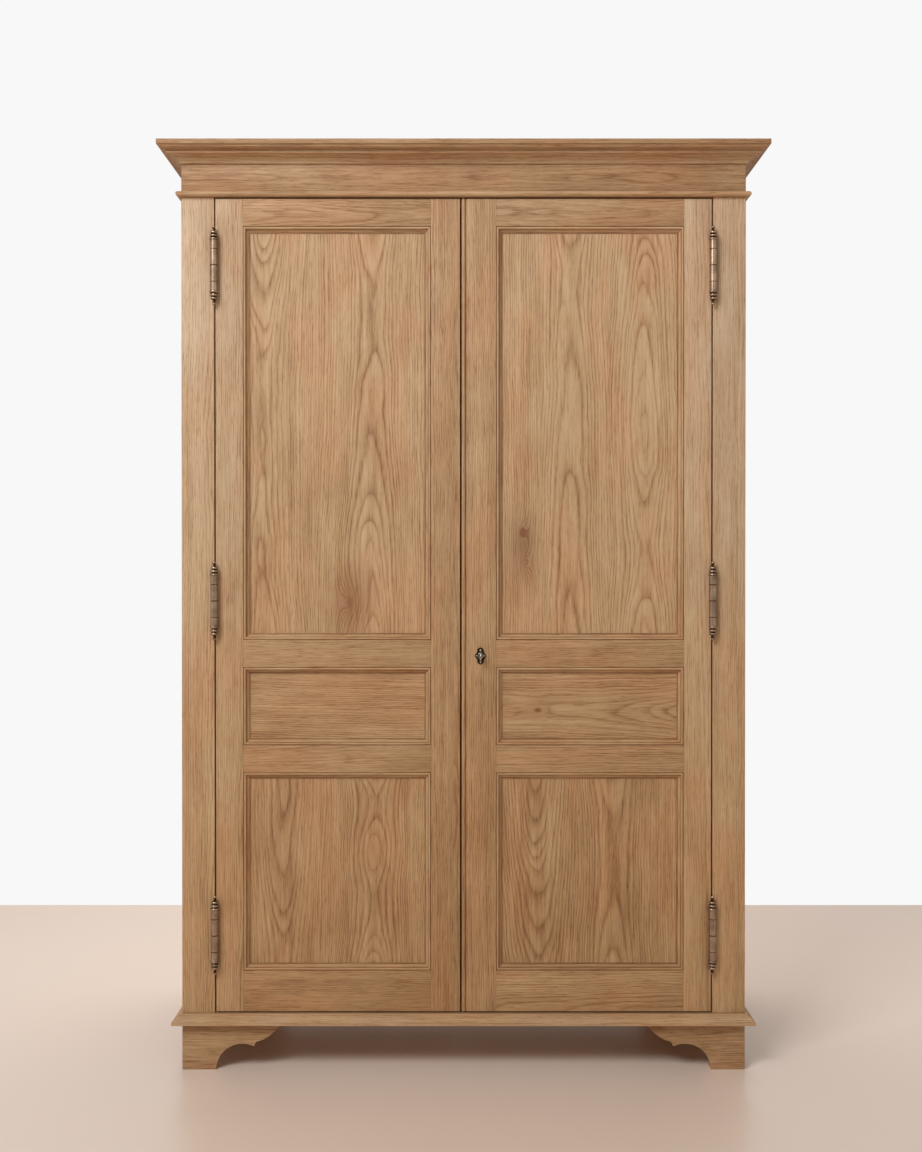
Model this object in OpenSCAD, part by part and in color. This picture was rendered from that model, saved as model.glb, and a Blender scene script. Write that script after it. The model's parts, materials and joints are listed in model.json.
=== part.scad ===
// Two-door oak armoire: panelled doors, cove cornice, ogee bracket feet.
// +Z is up, the doors face -Y and the origin is on the floor under the middle of the whole piece.

/* [Overall] */
// Height from the floor to the top of the top board
overall_h = 2100; // [1900:10:2300]
// Width of the body across the front posts
body_w = 1280; // [1100:10:1500]
// Depth of the body from the door faces to the back
body_d = 600; // [500:10:700]

/* [Carcass frames] */
// Width of a front post seen from the front
post_w = 74; // [64:1:100]
// Width of a post seen from the side
post_side_w = 62; // [50:1:90]
// Thickness of the side frames
side_t = 24; // [22:1:30]
// Thickness of a rear post
rear_post_t = 34; // [32:1:44]
// Thickness of the three back rails
back_rail_t = 22; // [18:1:30]
// Height of each back rail
back_rail_h = 80; // [60:1:120]
// Thickness of the tongued back boards
back_board_t = 12; // [10:1:16]
// Number of back boards
back_board_count = 8; // [5:1:12]
// Width that a back post's rebate gives to the boards
back_rebate = 18; // [12:1:22]
// Length of the tongue on a back board
back_tongue = 6; // [4:0.5:8]
// Thickness of that tongue
back_tongue_t = 4; // [3:0.5:5]
// Gap between the faces of two back boards
back_gap = 1; // [0.5:0.1:2]
// Length of the back rails' tenons
back_tenon_l = 8; // [5:1:8]
// Thickness of the back rails' tenons
back_tenon_t = 10; // [6:1:12]

/* [Base] */
// Height of the bracket feet
foot_h = 106; // [100:1:150]
// Thickness of the foot brackets
foot_t = 24; // [20:1:30]
// Width of a foot where it meets the floor
foot_pad_w = 77; // [60:1:110]
// Radius of the large hollow beside the foot
foot_hollow_r = 59; // [56:1:62]
// Radius of the small hollow after the cusp
foot_cove_r = 12; // [10:0.5:13]
// Distance between the middles of the two hollows
foot_cove_x = 39.5; // [38:0.5:41]
// Radius of the long bulge that ends the bracket
foot_bulge_r = 107; // [100:1:115]
// Height of that bulge's lowest point above the floor
foot_bulge_low = 57; // [55:0.5:59]
// Side of the square glue block behind each foot
foot_block = 45; // [30:1:60]
// Height of those blocks above the floor
block_lift = 2; // [1:0.5:5]
// Thickness of the base frame boards
base_t = 23; // [20:0.5:32]
// Distance that the base moulding stands out from the body
base_p = 21; // [16:1:34]
// Height of the base moulding's bottom fillet
base_fillet_h = 6.5; // [4:0.5:8]
// Step back above the bottom fillet
base_step = 3; // [2:0.5:5]
// Distance that the base moulding's top fillet stands out
base_top_p = 6; // [4:0.5:8]
// Height of the top fillet
base_top_fillet_h = 5.5; // [4:0.5:8]
// Radius of the swelling slope between the fillets
base_slope_r = 24; // [20:1:40]
// Width of the base frame boards inside the body faces
base_in = 70; // [64:1:100]
// Width of the middle bearer under the floor
bearer_w = 60; // [40:1:90]
// Length of the stub tenons on the base's rear rail and bearer
stub_l = 18; // [12:1:24]
// Thickness of those stub tenons
stub_t = 9; // [7:0.5:11]
// Length of the plain rear brackets
rear_bracket_l = 150; // [110:5:200]
// Thickness of the floor board
floor_t = 18; // [15:1:22]

/* [Head] */
// Thickness of the top board
top_t = 19; // [16:0.5:28]
// Distance that the top board stands out at the front and sides
lip_p = 47; // [42:1:70]
// Height of the square fillet on the top board's edge
lip_fillet_h = 11; // [6:0.5:12]
// Step under that fillet
lip_step = 3; // [1:0.5:4]
// Height of the cove moulding
cove_h = 24; // [20:0.5:32]
// Distance that the cove moulding's fillet stands out
crown_p = 29; // [26:1:36]
// Height of the cove moulding's fillet
crown_fillet_h = 7; // [4:0.5:9]
// Step under that fillet
crown_step = 4; // [2:0.5:6]
// Radius of the cove
cove_r = 22; // [20:0.5:30]
// Height of the plain frieze between the bead and the cove
frieze_h = 63; // [45:1:90]
// Height of the necking bead
neck_h = 12; // [8:0.5:16]
// Distance that the necking bead stands out
neck_p = 11; // [8:0.5:16]
// Height of the inner door stop
stop_h = 48; // [40:1:60]
// Thickness of the inner door stop
stop_t = 22; // [18:1:30]
// Distance that the stop laps behind the top of the doors
stop_lap = 16.5; // [10:0.5:20]
// Side of the corner blocks in the head
head_block = 30; // [20:1:40]
// Height of the corner blocks in the head
head_block_h = 60; // [40:1:80]
// Thickness of the head's rear board
head_back_t = 24; // [20:1:30]
// Diameter of the dowels that locate head, posts and base
dowel_d = 8; // [6:1:10]
// Length of those dowels
dowel_l = 38; // [30:1:38]
// Distance of the rear dowels from the back
rear_dowel_in = 9; // [8:0.5:11]

/* [Doors] */
// Thickness of the door frames
door_t = 24; // [22:1:30]
// Gap round each door
door_gap = 3.5; // [2.5:0.1:4.5]
// Width of the hinge stiles
hinge_stile_w = 62; // [52:1:90]
// Width of the left door's meeting stile
left_meet_w = 66; // [56:1:90]
// Width of the right door's meeting stile with its bead
right_meet_w = 78.5; // [68:0.5:100]
// Height of the bottom rails
bottom_rail_h = 93; // [70:1:120]
// Height of the other rails
rail_h = 62; // [50:1:80]
// Height of the lower panel's opening
lower_open_h = 451; // [300:1:600]
// Height of the middle panel's opening
middle_open_h = 177.5; // [120:0.5:240]
// Radius of the bead on the right meeting stile
bead_r = 4.6; // [3:0.1:6]
// Width of the quirk beside that bead
quirk_w = 1.8; // [1:0.1:3]
// Length of the tenons
tenon_l = 40; // [25:1:44]
// Distance from a tenon's edges to the rail's edges
tenon_shoulder = 10; // [9:1:16]

/* [Panels] */
// Distance from the frame face back to the panel face
panel_set = 11; // [9:0.5:12]
// Thickness of the panels
panel_t = 9; // [7:0.5:10]
// Depth of the groove that holds a panel
groove_d = 8; // [6:0.5:9]
// Width of the moulding round a panel
mould_w = 15; // [13.5:0.5:20]
// Radius of the moulding's bead
mould_bead_r = 3.5; // [2.5:0.1:4]
// Depth of the bead's crown below the frame face
mould_bead_set = 0.6; // [0.2:0.1:1]
// Radius of the moulding's hollow
mould_cove_r = 6; // [4:0.5:7]
// Thickness of the moulding's inner edge
mould_edge_t = 1; // [0.5:0.1:2]

/* [Hinges] */
// Diameter of the hinge barrels
barrel_d = 17; // [14:0.5:18]
// Length of a whole barrel
barrel_l = 112; // [80:1:140]
// Diameter of the largest turned ring
ring_d = 20; // [19:0.5:24]
// Clearance between the rings and the face of the wood
ring_gap = 0.5; // [0.3:0.1:1]
// Diameter of the hinge pin
pin_d = 8; // [6:0.5:9]
// Length of the pin above the seam
pin_l = 46; // [30:1:50]
// Thickness of the hinge leaves
leaf_t = 2; // [1.5:0.1:2.5]
// Depth of the leaves behind the face of the wood
leaf_d = 20; // [16:1:21]
// Height from the door's bottom edge to the lowest hinge's seam
hinge_low = 176.5; // [150:0.5:220]
// Distance from the door's top edge to the highest hinge's seam
hinge_high = 153.5; // [130:0.5:220]
// Number of hinges on each door
hinge_count = 3; // [2:1:4]
// Distance from a leaf's ends to the ends of its barrel
leaf_end = 2; // [1:0.5:4]
// Spacing of the screws in a leaf
leaf_screw_step = 18; // [12:1:20]
// Distance from the face of the wood to those screws
leaf_screw_in = 11; // [9:0.5:12]
// Length of a finial
finial_l = 34; // [32:0.5:38]
// Radius of the round edges of a finial's three rings
finial_bead_r = 3.4; // [3:0.1:3.5]
// Spacing of those rings
finial_ring_step = 7.5; // [7.2:0.1:7.8]
// Amount by which each ring is smaller in radius than the one before it
finial_taper = 1.1; // [0.8:0.1:1.2]
// Radius of the finial's neck
neck_r = 2.4; // [1.8:0.1:2.6]
// Radius of the finial's button
button_r = 3.9; // [3.4:0.1:4]
// Diameter of the wood screws
screw_d = 4; // [3:0.5:4.5]
// Length of the wood screws
screw_l = 18; // [12:1:20]

/* [Lock and bolts] */
// Height of the key above the door's bottom edge
key_up = 809.5; // [780:0.5:820]
// Distance of the key from the right door's meeting edge
key_in = 43; // [36:0.5:50]
// Distance from the door face to the middle of the key's bow
key_out = 25; // [22:0.5:28]
// Outer diameter of the key's bow
bow_d = 25; // [20:1:30]
// Diameter of the key's shank
shank_d = 6; // [4:0.5:7]
// Reach of the key's bit from the middle of the shank
bit_r = 15; // [11:0.5:16]
// Thickness of the key's bow
bow_t = 4; // [3:0.5:5]
// Thickness of the key's bit
bit_t = 2.4; // [1.6:0.2:3]
// Clearance of the keyhole round the key
keyhole_gap = 0.7; // [0.4:0.1:1]
// Width of the escutcheon across its points
plate_w = 28; // [24:1:34]
// Height of the escutcheon
plate_h = 38; // [36:1:44]
// Radius of the lobes at its top and bottom
plate_lobe_r = 7.5; // [7:0.5:9]
// Thickness of the escutcheon
plate_t = 2; // [1.5:0.1:3]
// Width of the lock case
case_w = 72; // [70:1:74]
// Height of the lock case
case_h = 80; // [74:1:90]
// Depth of the lock case
case_d = 16; // [14:1:20]
// Wall of the lock case
case_wall = 2; // [1.2:0.1:2.5]
// Distance of the lock case from the door's edge
case_inset = 3; // [2:0.5:4]
// Distance from the bottom of the lock case's box to the key
case_below = 30; // [26:1:34]
// Height of the lock case's flanges above and below its box
flange_h = 12; // [10:1:16]
// Throw of the lock bolt
lock_throw = 14; // [12:0.5:16]
// Height of the lock bolt
lock_bolt_h = 16; // [12:0.5:18]
// Thickness of the lock bolt
lock_bolt_t = 8; // [6:0.5:9]
// Length of the lock bolt
lock_bolt_l = 64; // [60:1:65]
// Length of the guides inside the lock case
guide_rib = 6; // [4:0.5:8]
// Overlap in height of the lock bolt and the bit's circle
bolt_lap = 4; // [2:0.5:5]
// Width of the lock bolt's keeper
keeper_w = 12; // [8:1:16]
// Wall of the keeper's loop
keeper_t = 2.5; // [2:0.5:3]
// Diameter of the slide bolts
slide_d = 8; // [6:0.5:10]
// Length of the slide bolts
slide_l = 130; // [110:1:160]
// Gap between a slide bolt's end and the wood that it enters
slide_rest = 3; // [2:0.5:4]
// Thickness of the slide bolts' plates and keepers
slide_plate_t = 2; // [1.5:0.5:3]
// Width of the slide bolts' plates
slide_plate_w = 30; // [26:1:34]
// Distance between the two screws in height on such a plate
guide_screw_gap = 48; // [30:1:60]
// Height of each guide on those plates
guide_h = 14; // [10:1:20]
// Distance from a slide bolt's end to its plate
guide_start = 5; // [4:0.5:8]
// Radius of the slide bolts' knobs
knob_r = 6; // [5:0.5:8]
// Throw of the slide bolts
slide_throw = 15; // [10:0.5:16]
// Distance from the door's inner face to the slide bolts' axis
slide_off = 10; // [9:0.5:12]

/* [Inside] */
// Clear height between the hat shelf and the door stop
hat_space_h = 242; // [200:1:440]
// Thickness of the hat shelf
shelf_t = 20; // [16:1:25]
// Distance of the screws from the cleats' edges
cleat_screw_in = 25; // [15:1:30]
// Height of the cleats under the shelf
cleat_h = 90; // [76:1:120]
// Thickness of the cleats
cleat_t = 20; // [16:1:30]
// Setback of the shelf from the doors
shelf_setback = 16; // [10:1:60]
// Diameter of the hanging rail
rail_d = 28; // [20:1:32]
// Wall of the hanging rail's tube
rail_wall = 2; // [1.5:0.1:3]
// Distance from the shelf's underside to the middle of the hanging rail
rail_drop = 46; // [40:1:60]
// Wall of the rail sockets
socket_wall = 4; // [3:0.5:6]
// Diameter of the rail sockets' flanges
socket_d = 58; // [50:1:64]
// Thickness of the rail sockets' flanges
socket_flange = 3; // [2:0.5:4]
// Length of the screws through the cleats
long_screw_l = 36; // [32:1:38]
// Length of the screws in the bolt keepers
short_screw_l = 12; // [8:1:14]
// Depth of the rail sockets
socket_l = 14; // [10:1:20]

/* [Clearances] */
// Clearance of a running fit, on the radius
run_gap = 0.05; // [0.03:0.01:0.08]
// Glue line left at a mitre
mitre_gap = 0.1; // [0.05:0.05:0.2]
// Clearance of a glued or recessed fit
glue_gap = 0.1; // [0.05:0.05:0.3]
// Room at the bottom of a groove or mortise
end_room = 2; // [1:0.5:3]
// Gap between a door's back and its stop
stop_gap = 0.5; // [0.3:0.1:0.8]
// Gap at the seam of a hinge
seam_gap = 0.3; // [0.2:0.1:0.5]
// Gap between sliding flat faces
slip_gap = 0.4; // [0.3:0.1:0.6]

/* [Hidden] */
$fn = 64;

oak = "#c9a478";
oak_deep = "#bd9567";
pine = "#d6bd92";
aged_brass = "#9a8560";
dark_iron = "#3a3530";
steel = "#9b9a96";

// Faces and edges of the body, from the middle
half_w = body_w / 2;
y_face = -(body_d + lip_p) / 2 + lip_p;
y_back = y_face + body_d;
front_t = door_t + stop_gap;
y_door_back = y_face + door_t;
y_stop = y_face + front_t;
x_jamb = half_w - post_w;
x_side_in = half_w - side_t;
x_rear_post = half_w - rear_post_t;
y_front_run = y_face + post_side_w;
y_rear_run = y_back - post_side_w;
y_inner_back = y_back - back_board_t - back_rail_t;

// Levels from the floor
z_base = foot_h + base_t;
z_floor = z_base + floor_t;
z_top = overall_h - top_t;
z_cove = z_top - cove_h;
z_frieze = z_cove - frieze_h;
z_neck = z_frieze - neck_h;
z_door = z_base + door_gap;
door_h = z_neck - door_gap - z_door;
z_stop = z_door + door_h - stop_lap;

// Door widths: both panels are equally wide, so the doors meet left of the middle
open_w = (2 * x_jamb - 3 * door_gap - 2 * hinge_stile_w - left_meet_w - right_meet_w) / 2;
left_door_w = hinge_stile_w + open_w + left_meet_w;
x_left_edge = -x_jamb + door_gap + left_door_w;
x_right_edge = x_left_edge + door_gap;

// Rails and openings of the doors, from the bottom
rail_hs = [bottom_rail_h, rail_h, rail_h, rail_h];
rail_zs = [
    z_door,
    z_door + bottom_rail_h + lower_open_h,
    z_door + bottom_rail_h + lower_open_h + rail_h + middle_open_h,
    z_door + door_h - rail_h
];
open_zs = [for (i = [0:2]) rail_zs[i] + rail_hs[i]];
open_hs = [for (i = [0:2]) rail_zs[i + 1] - open_zs[i]];

// The side frames' rails line up with the doors' rails
side_run = y_rear_run - y_front_run;
side_rail_zs = [z_base, rail_zs[2], rail_zs[3]];
side_rail_hs = [door_gap + bottom_rail_h, rail_h, rail_h + door_gap];
side_open_zs = [for (i = [0:1]) side_rail_zs[i] + side_rail_hs[i]];
side_open_hs = [for (i = [0:1]) side_rail_zs[i + 1] - side_open_zs[i]];

// Hinge line and hinge heights
ring_r = ring_d / 2;
hinge_off = ring_r + ring_gap;
x_hinge = x_jamb - door_gap / 2;
y_hinge = y_face - hinge_off;
half_barrel = barrel_l / 2;
hinge_z_low = z_door + hinge_low;
hinge_z_high = z_door + door_h - hinge_high;
hinge_step = (hinge_z_high - hinge_z_low) / (hinge_count - 1);
hinge_zs = [for (i = [0:hinge_count - 1]) hinge_z_low + i * hinge_step];
leaf_h = half_barrel - 2 * leaf_end;
leaf_screw_zs = [for (i = [-1:1]) i * leaf_screw_step];

// Lock
x_key = x_right_edge + key_in;
z_key = z_door + key_up;
case_x = x_right_edge + case_inset;
case_z = z_key - case_below;
bolt_z = z_key + bit_r - bolt_lap;
bolt_y = y_door_back + (case_d - lock_bolt_t) / 2;

// Slide bolts on the left meeting stile
x_slide = x_left_edge - left_meet_w / 2;
z_top_tip = z_stop - slide_rest;
z_bottom_tip = z_floor + slide_rest;

// Hanging rail
y_rail = (y_stop + y_inner_back) / 2;
shelf_z = z_stop - hat_space_h - shelf_t;
z_rail = shelf_z - rail_drop;
x_cleat = x_side_in - cleat_t;
cleat_screw_zs = [shelf_z - cleat_screw_in, shelf_z - cleat_h + cleat_screw_in];
y_shelf = y_stop + shelf_setback;
y_cleat_front_screw = (y_shelf + y_front_run - groove_d) / 2;
y_cleat_rear_screw = (y_rear_run + groove_d + y_inner_back) / 2;

// Cuts run past the faces that they open
over = 1;

// Distance from the edge of a metal plate to its screws
screw_in = screw_d + over;

// Height by which the foot's small hollow rises past the start of the long bulge
cove_bite = 0.5;

// A copy of the right-hand piece on the left
module on_left() mirror([1, 0, 0]) children();

// Both hands of a piece
module both_sides() {
    children();
    on_left() children();
}

// A board given by its lowest corner and its size
module board(at, size) translate(at) cube(size);

// An outline drawn in X and Z, as thick as t towards +Y from y
module upright(y, t) translate([0, y + t, 0]) rotate([90, 0, 0]) linear_extrude(t) children();

// The middle of an arc of radius r that swells away from it between two points
function arc_middle(a, b, r) =
    let (d = b - a, l = norm(d), n = [d[1], -d[0]] / l)
    (a + b) / 2 - n * sqrt(r * r - l * l / 4);

// Local frames: u along the width, v into the thickness, z up
module in_left_door() translate([-x_jamb + door_gap, y_face, 0]) children();
module in_right_door() translate([x_jamb - door_gap, y_face, 0]) mirror([1, 0, 0]) children();
module in_right_side() translate([half_w, y_front_run, 0]) rotate([0, 0, 90]) children();

// Screws: a countersunk head that narrows to the shank, drawn down from z = 0
module screw_shape(length, gap) {
    r = screw_d / 2 + gap;
    rotate_extrude() polygon([
        [0, 0], [screw_d + gap, 0], [r, -screw_d / 2], [r, gap - length + screw_d / 2],
        [gap, -length], [0, -length - gap]
    ]);
}
module screw(length = screw_l) screw_shape(length, 0);
module screw_hole(length = screw_l) {
    screw_shape(length, glue_gap);
    cylinder(r = screw_d + glue_gap, h = over);
}

// Frame-and-panel work

// A rail with grooves for the panels and a tenon at each end
module rail(width, height, z, t, groove_above, groove_below, tenon = tenon_l) {
    difference() {
        union() {
            board([0, 0, z], [width, t, height]);
            board([-tenon, panel_set, z + tenon_shoulder],
                [width + 2 * tenon, panel_t, height - 2 * tenon_shoulder]);
        }
        if (groove_above)
            board([0, panel_set, z + height - groove_d], [width, panel_t + glue_gap, groove_d + over]);
        if (groove_below)
            board([0, panel_set, z - over], [width, panel_t + glue_gap, groove_d + over]);
    }
}

// The mortise for one end of a rail, cut into a stile whose inner edge is at u = 0
module mortise(height, z, tenon = tenon_l) {
    board([-tenon - end_room, panel_set - glue_gap, z + tenon_shoulder - glue_gap],
        [tenon + end_room + over, panel_t + 2 * glue_gap, height - 2 * (tenon_shoulder - glue_gap)]);
}

// The groove for the panels along an edge at u = 0
module long_groove(z, height) {
    board([-groove_d, panel_set, z], [groove_d + over, panel_t + glue_gap, height]);
}

// A flat panel in the grooves round an opening
module panel(width, height, z) {
    lap = groove_d - end_room;
    board([-lap, panel_set, z - lap], [width + 2 * lap, panel_t, height + 2 * lap]);
}

// Section of the moulding: x from the frame's edge, y back from the frame's face
module mould_section() {
    bead_y = mould_bead_set + mould_bead_r;
    fillet_y = bead_y + mould_bead_r / 2;
    inner_y = panel_set - mould_edge_t;
    cove_x = 2 * mould_bead_r + mould_cove_r + mould_edge_t / 2;
    translate([0, bead_y]) square([2 * mould_bead_r, panel_set - bead_y]);
    translate([mould_bead_r, bead_y]) circle(r = mould_bead_r);
    difference() {
        translate([mould_bead_r, fillet_y]) square([mould_w - mould_bead_r, panel_set - fillet_y]);
        translate([cove_x, inner_y - mould_cove_r]) circle(r = mould_cove_r);
        translate([cove_x, fillet_y - over]) square([mould_w, inner_y - fillet_y + over]);
    }
}

// One mitred length of moulding standing up the left edge of an opening
module mould_side(height) {
    intersection() {
        linear_extrude(height) mould_section();
        upright(-over, panel_set + 2 * over)
            polygon([
                [0, mitre_gap], [mould_w + over, mould_w + over + mitre_gap],
                [mould_w + over, height - mould_w - over - mitre_gap], [0, height - mitre_gap]
            ]);
    }
}

// The four mitred mouldings round an opening
module mould_frame(width, height, z) {
    translate([0, 0, z]) {
        mould_side(height);
        translate([width, 0, 0]) mirror([1, 0, 0]) mould_side(height);
        mirror([1, 0, -1]) mould_side(width);
        translate([0, 0, height]) mirror([0, 0, 1]) mirror([1, 0, -1]) mould_side(width);
    }
}

// Posts

// Dowels stand in the posts' ends, half in the post and half in its neighbour
dowel_xs = [half_w - post_w / 3, half_w - 2 * post_w / 3];
module dowel_set(gap) {
    for (z = [z_base, z_neck]) {
        for (x = dowel_xs) translate([x, y_face + front_t / 2, z]) dowel(gap);
        translate([half_w - (rear_post_t - back_rebate) / 2, y_back - rear_dowel_in, z]) dowel(gap);
    }
}
module dowel(gap) cylinder(d = dowel_d + 2 * gap, h = dowel_l + 2 * gap, center = true);
module dowels() color(pine) both_sides() dowel_set(0);

// Cuts for the side frame's rails and panels, in the side's own frame
module side_cuts() {
    long_groove(z_base, z_neck - z_base);
    for (i = [0:2]) mortise(side_rail_hs[i], side_rail_zs[i]);
}

module front_post() {
    difference() {
        translate([0, 0, z_base]) linear_extrude(z_neck - z_base) polygon([
            [x_jamb, y_face], [half_w, y_face], [half_w, y_front_run], [x_side_in, y_front_run],
            [x_side_in, y_stop], [x_jamb, y_stop]
        ]);
        in_right_side() side_cuts();
        dowel_set(glue_gap);
        for (z = hinge_zs) translate([x_hinge, y_hinge, z]) mirror([0, 0, 1]) leaf_cut();
        for (z = cleat_screw_zs) translate([x_cleat, y_cleat_front_screw, z]) rotate([0, -90, 0])
            screw_hole(long_screw_l);
    }
}
module right_front_post() color(oak) front_post();
module left_front_post() color(oak) on_left() front_post();

module rear_post() {
    difference() {
        board([x_rear_post, y_rear_run, z_base], [rear_post_t, post_side_w, z_neck - z_base]);
        board([x_rear_post - over, y_back - back_board_t, z_base - over],
            [back_rebate + over, back_board_t + over, z_neck - z_base + 2 * over]);
        in_right_side() translate([side_run, 0, 0]) mirror([1, 0, 0]) side_cuts();
        dowel_set(glue_gap);
        for (z = back_rail_zs)
            board([x_rear_post - over, back_tenon_y - glue_gap, z + tenon_shoulder - glue_gap],
                [back_tenon_l + end_room + over, back_tenon_t + 2 * glue_gap,
                    back_rail_h - 2 * (tenon_shoulder - glue_gap)]);
        for (z = cleat_screw_zs) translate([x_cleat, y_cleat_rear_screw, z]) rotate([0, -90, 0])
            screw_hole(long_screw_l);
    }
}
module right_rear_post() color(oak) rear_post();
module left_rear_post() color(oak) on_left() rear_post();

// Sides

module side_rails() {
    in_right_side() for (i = [0:2])
        rail(side_run, side_rail_hs[i], side_rail_zs[i], side_t, i < 2, i > 0);
}
module right_side_rails() color(oak) side_rails();
module left_side_rails() color(oak) on_left() side_rails();

module side_panels() {
    in_right_side() for (i = [0:1]) panel(side_run, side_open_hs[i], side_open_zs[i]);
}
module right_side_panels() color(oak_deep) side_panels();
module left_side_panels() color(oak_deep) on_left() side_panels();

module side_mouldings() color(oak) both_sides() in_right_side()
    for (i = [0:1]) mould_frame(side_run, side_open_hs[i], side_open_zs[i]);

// Back

back_tenon_y = y_inner_back + (back_rail_t - back_tenon_t) / 2;
back_rail_zs = [z_floor, (z_floor + z_neck - back_rail_h) / 2, z_neck - back_rail_h];
module back_rails() {
    color(pine) for (z = back_rail_zs) {
        board([-x_rear_post, y_inner_back, z], [2 * x_rear_post, back_rail_t, back_rail_h]);
        board([-x_rear_post - back_tenon_l, back_tenon_y, z + tenon_shoulder],
            [2 * (x_rear_post + back_tenon_l), back_tenon_t, back_rail_h - 2 * tenon_shoulder]);
    }
}

// Tongued and grooved boards that fill the rebates of the rear posts
module back_boards() {
    x_end = x_rear_post + back_rebate - slip_gap;
    pitch = 2 * x_end / back_board_count;
    tongue_y = (back_board_t - back_tongue_t) / 2;
    color(pine) for (i = [0:back_board_count - 1])
        translate([-x_end + i * pitch, y_back - back_board_t, z_base])
            linear_extrude(z_neck - z_base) difference() {
                union() {
                    square([pitch - (i < back_board_count - 1 ? back_gap : 0), back_board_t]);
                    if (i < back_board_count - 1)
                        translate([0, tongue_y]) square([pitch - back_gap + back_tongue, back_tongue_t]);
                }
                if (i > 0) translate([-over, tongue_y - glue_gap])
                    square([over + back_tongue, back_tongue_t + 2 * glue_gap]);
            }
}

// Base

// Section of a base board: x out from the body face, y up from its underside
module base_section() {
    foot_x = base_p - base_step;
    slope_top = base_t - base_top_fillet_h;
    low = [foot_x, base_fillet_h];
    high = [base_top_p, slope_top];
    translate([-base_in, 0]) square([base_in + base_top_p, base_t]);
    square([base_p, base_fillet_h]);
    intersection() {
        translate(arc_middle(low, high, base_slope_r)) circle(r = base_slope_r);
        translate([base_top_p - over, base_fillet_h - over])
            square([foot_x - base_top_p + 2 * over, slope_top - base_fillet_h + 2 * over]);
    }
}

// A moulding across the front, mitred at both ends
module front_run(z, height, out, inwards) {
    length = body_w + 2 * (out + over);
    intersection() {
        translate([length / 2, y_face, z]) rotate([90, 0, -90]) linear_extrude(length) children();
        translate([0, 0, z - over]) linear_extrude(height + 2 * over) polygon([
            [half_w + out + over - mitre_gap, y_face - out - over],
            [half_w - inwards - mitre_gap, y_face + inwards],
            [inwards - half_w + mitre_gap, y_face + inwards],
            [-half_w - out - over + mitre_gap, y_face - out - over]
        ]);
    }
}

// The same moulding along the right side, mitred at the front
module side_run_of(z, height, out, inwards) {
    length = body_d + out + over;
    intersection() {
        translate([half_w, y_back, z]) rotate([90, 0, 0]) linear_extrude(length) children();
        translate([0, 0, z - over]) linear_extrude(height + 2 * over) polygon([
            [half_w + out + over, y_face - out - over], [half_w + out + over, y_back],
            [half_w - inwards, y_back], [half_w - inwards, y_face + inwards]
        ]);
    }
}

// A mitred frame of flat boards, a rear rail and a bearer, joined by stub tenons
base_y_in = y_back - base_in;
module base_frame() {
    stub_z = foot_h + (base_t - stub_t) / 2;
    stub_w = base_in - 2 * tenon_shoulder;
    color(oak) {
        difference() {
            front_run(foot_h, base_t, base_p, base_in) base_section();
            dowels_cut();
            board([-bearer_w / 2 + tenon_shoulder - glue_gap, y_face + base_in - stub_l - end_room, stub_z],
                [bearer_w - 2 * (tenon_shoulder - glue_gap), stub_l + end_room + over, stub_t]);
        }
        both_sides() difference() {
            side_run_of(foot_h, base_t, base_p, base_in) base_section();
            dowels_cut();
            board([half_w - base_in - over, base_y_in + tenon_shoulder - glue_gap, stub_z],
                [stub_l + end_room + over, stub_w + 2 * glue_gap, stub_t]);
        }
        difference() {
            union() {
                board([base_in - half_w + mitre_gap, base_y_in, foot_h],
                    [body_w - 2 * (base_in + mitre_gap), base_in, base_t]);
                board([base_in - half_w - stub_l, base_y_in + tenon_shoulder, stub_z + glue_gap],
                    [body_w - 2 * (base_in - stub_l), stub_w, stub_t - 2 * glue_gap]);
            }
            board([-bearer_w / 2 + tenon_shoulder - glue_gap, base_y_in - over, stub_z],
                [bearer_w - 2 * (tenon_shoulder - glue_gap), stub_l + end_room + over, stub_t]);
        }
        union() {
            board([-bearer_w / 2, y_face + base_in + mitre_gap, foot_h],
                [bearer_w, body_d - 2 * (base_in + mitre_gap), base_t]);
            board([-bearer_w / 2 + tenon_shoulder, y_face + base_in - stub_l, stub_z + glue_gap],
                [bearer_w - 2 * tenon_shoulder, body_d - 2 * (base_in - stub_l), stub_t - 2 * glue_gap]);
        }
    }
}
module dowels_cut() both_sides() dowel_set(glue_gap);

// Outline of a bracket foot: x inwards from its outer edge, y up from the floor
module bracket_outline() {
    hollow_x = foot_pad_w + foot_hollow_r;
    cove_x = hollow_x + foot_cove_x;
    bulge_z = foot_bulge_low + foot_bulge_r;
    cove_top = bulge_z - sqrt(pow(foot_bulge_r, 2) - pow(foot_cove_x, 2)) + cove_bite;
    difference() {
        union() {
            square([cove_x, foot_h]);
            intersection() {
                translate([hollow_x, bulge_z]) circle(r = foot_bulge_r);
                translate([hollow_x, 0]) square([foot_bulge_r + over, foot_h]);
            }
        }
        translate([hollow_x, 0]) circle(r = foot_hollow_r);
        translate([cove_x, cove_top - foot_cove_r]) circle(r = foot_cove_r);
        translate([cove_x - foot_cove_r / 2, -over])
            square([foot_cove_r / 2 + over, cove_top - foot_cove_r + over]);
    }
}

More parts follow.
